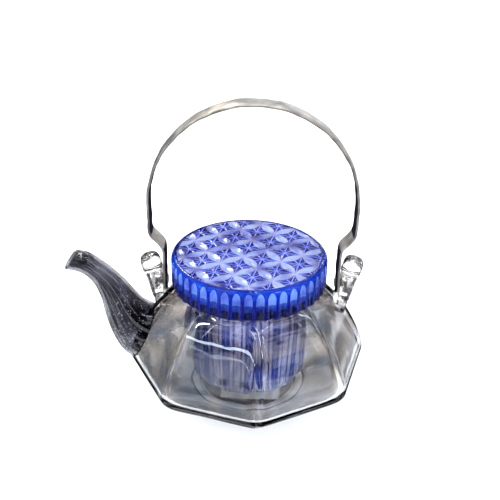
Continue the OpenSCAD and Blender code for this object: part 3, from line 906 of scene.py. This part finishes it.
# ---------------------------------------------------------------- stage, lights and camera
CAMERA_AZIMUTH, CAMERA_ELEVATION = math.radians(-5.2), math.radians(28.4)
CAMERA_DISTANCE, CAMERA_AIM_Z, CAMERA_ASIDE = 400.0, 82.9, 0.2
CAMERA_ROLL, CAMERA_LENS = math.radians(1.2), 56.5

# Name, place and target in metres, width and height in metres, power in watts, colour.
SOFTBOXES = (
    ("key", (-0.55, -0.45, 0.80), (0, 0, 0.05), (0.02, 0.16), 0.6, (1, 0.98, 0.95)),
    ("glint", (-0.22, 0.66, 0.62), (0, 0, 0.08), (0.12, 0.10), 0.9, (1, 0.92, 0.80)),
    ("left_tube", (-0.75, -0.10, 0.60), (0, 0, 0.05), (0.03, 1.3), 1.2, (0.80, 0.90, 1)),
    ("right_tube", (0.70, -0.30, 0.70), (0, 0, 0.05), (0.03, 1.3), 1.2, (0.85, 0.93, 1)),
    ("back_tube", (0.0, 0.80, 0.60), (0, 0, 0.05), (1.5, 0.03), 1.4, (0.80, 0.90, 1)),
    ("front_left_tube", (-0.55, -0.60, 0.55), (0, 0, 0.05), (0.9, 0.03), 1.2, (0.75, 0.88, 1)),
    ("front_right_tube", (0.45, -0.50, 0.85), (0, 0, 0.05), (0.02, 0.9), 1.0, (1, 0.95, 0.88)),
    ("high_tube", (-0.15, -0.25, 1.1), (0, 0, 0.05), (1.2, 0.025), 1.0, (0.85, 0.93, 1)),
    ("top_tube", (0.1, 0.0, 1.2), (0, 0, 0), (1.4, 0.04), 1.8, (1, 1, 1)),
)


def build_camera():
    """The camera, which looks down at the pot from the front."""
    data = bpy.data.cameras.new("camera")
    data.lens, data.sensor_width = CAMERA_LENS, 36
    data.clip_start, data.clip_end = 0.01, 30
    camera = bpy.data.objects.new("camera", data)
    flat = Vector((math.sin(CAMERA_AZIMUTH), -math.cos(CAMERA_AZIMUTH), 0))
    back = flat * math.cos(CAMERA_ELEVATION) + Vector((0, 0, math.sin(CAMERA_ELEVATION)))
    right = Vector((math.cos(CAMERA_AZIMUTH), math.sin(CAMERA_AZIMUTH), 0))
    aim = Vector((0, 0, CAMERA_AIM_Z)) + right * CAMERA_ASIDE
    camera.location = (aim + back * CAMERA_DISTANCE) * MM
    look = (-back).to_track_quat("-Z", "Y").to_matrix()
    camera.rotation_euler = (look @ Matrix.Rotation(CAMERA_ROLL, 3, "Z")).to_euler()
    bpy.context.scene.collection.objects.link(camera)
    bpy.context.scene.camera = camera


def build_floor():
    """A wide matt floor, which shows in no reflection."""
    half = 6
    corners = [(-half, -half, 0), (half, -half, 0), (half, half, 0), (-half, half, 0)]
    mesh = bpy.data.meshes.new("floor")
    mesh.from_pydata(corners, [], [(0, 1, 2, 3)])
    floor = bpy.data.objects.new("floor", mesh)
    bpy.context.scene.collection.objects.link(floor)
    material, tree, shader = node_material("pale_floor")
    shader.inputs["Base Color"].default_value = (0.86, 0.86, 0.86, 1)
    shader.inputs["Roughness"].default_value = 0.9
    shader.inputs["Specular IOR Level"].default_value = 0.1
    mesh.materials.append(material)
    floor.visible_glossy = False


def build_world():
    """An uneven room for the glass and metal to show, plain pale where the camera looks past the floor."""
    world = bpy.data.worlds.new("studio")
    bpy.context.scene.world = world
    world.use_nodes = True
    tree = world.node_tree
    coords = tree.nodes.new("ShaderNodeTexCoord")
    patches = tree.nodes.new("ShaderNodeTexNoise")
    patches.inputs["Scale"].default_value = 4.4
    patches.inputs["Detail"].default_value = 2.0
    wire(tree, coords.outputs["Generated"], patches.inputs["Vector"])
    room = colour_ramp(tree, patches.outputs["Fac"], (
        (0.46, (0.005, 0.005, 0.006)), (0.52, (0.22, 0.195, 0.17)), (0.58, (2.0, 2.1, 2.3))))
    path = tree.nodes.new("ShaderNodeLightPath")
    seen = colour_mix(tree, path.outputs["Is Camera Ray"], room, (0.97, 0.97, 0.97))
    wire(tree, seen, tree.nodes["Background"].inputs["Color"])
    tree.nodes["Background"].inputs["Strength"].default_value = 1.0


def build_daylight(power, tilt, spread):
    """A wide soft sun that shows in no reflection."""
    light = bpy.data.lights.new("daylight", "SUN")
    light.energy, light.angle = power, math.radians(spread)
    lamp = bpy.data.objects.new("daylight", light)
    lamp.rotation_euler = [math.radians(a) for a in tilt]
    lamp.visible_glossy = False
    lamp.visible_transmission = False
    bpy.context.scene.collection.objects.link(lamp)


def build_softbox(name, place, target, size, power, colour):
    """A rectangular lamp turned to its target."""
    light = bpy.data.lights.new(name, "AREA")
    light.shape = "RECTANGLE"
    light.size, light.size_y = size
    light.energy = power
    light.color = colour
    lamp = bpy.data.objects.new(name, light)
    lamp.location = place
    lamp.rotation_euler = (Vector(target) - Vector(place)).to_track_quat("-Z", "Y").to_euler()
    bpy.context.scene.collection.objects.link(lamp)


build_camera()
build_floor()
build_world()
build_daylight(2.6, (6, -8, 0), 70)
for softbox in SOFTBOXES:
    build_softbox(*softbox)

build_pot_body()
build_spout()
build_lug("spout_side_glass_lug", -1, "spout_side_lug")
build_lug("far_side_glass_lug", 1, "far_side_lug")
build_bail()
build_pin("spout_side_rivet", -1, "spout_side_pin")
build_pin("far_side_rivet", 1, "far_side_pin")
build_cup()
build_cup_cuts()
build_lid()
build_label()
build_foot_rim()
build_bubble_glints()

scene = bpy.context.scene
scene.view_settings.view_transform = "Standard"
scene.view_settings.look = "Medium High Contrast"
scene.cycles.max_bounces = 24
scene.cycles.transmission_bounces = 24
scene.cycles.caustics_refractive = False
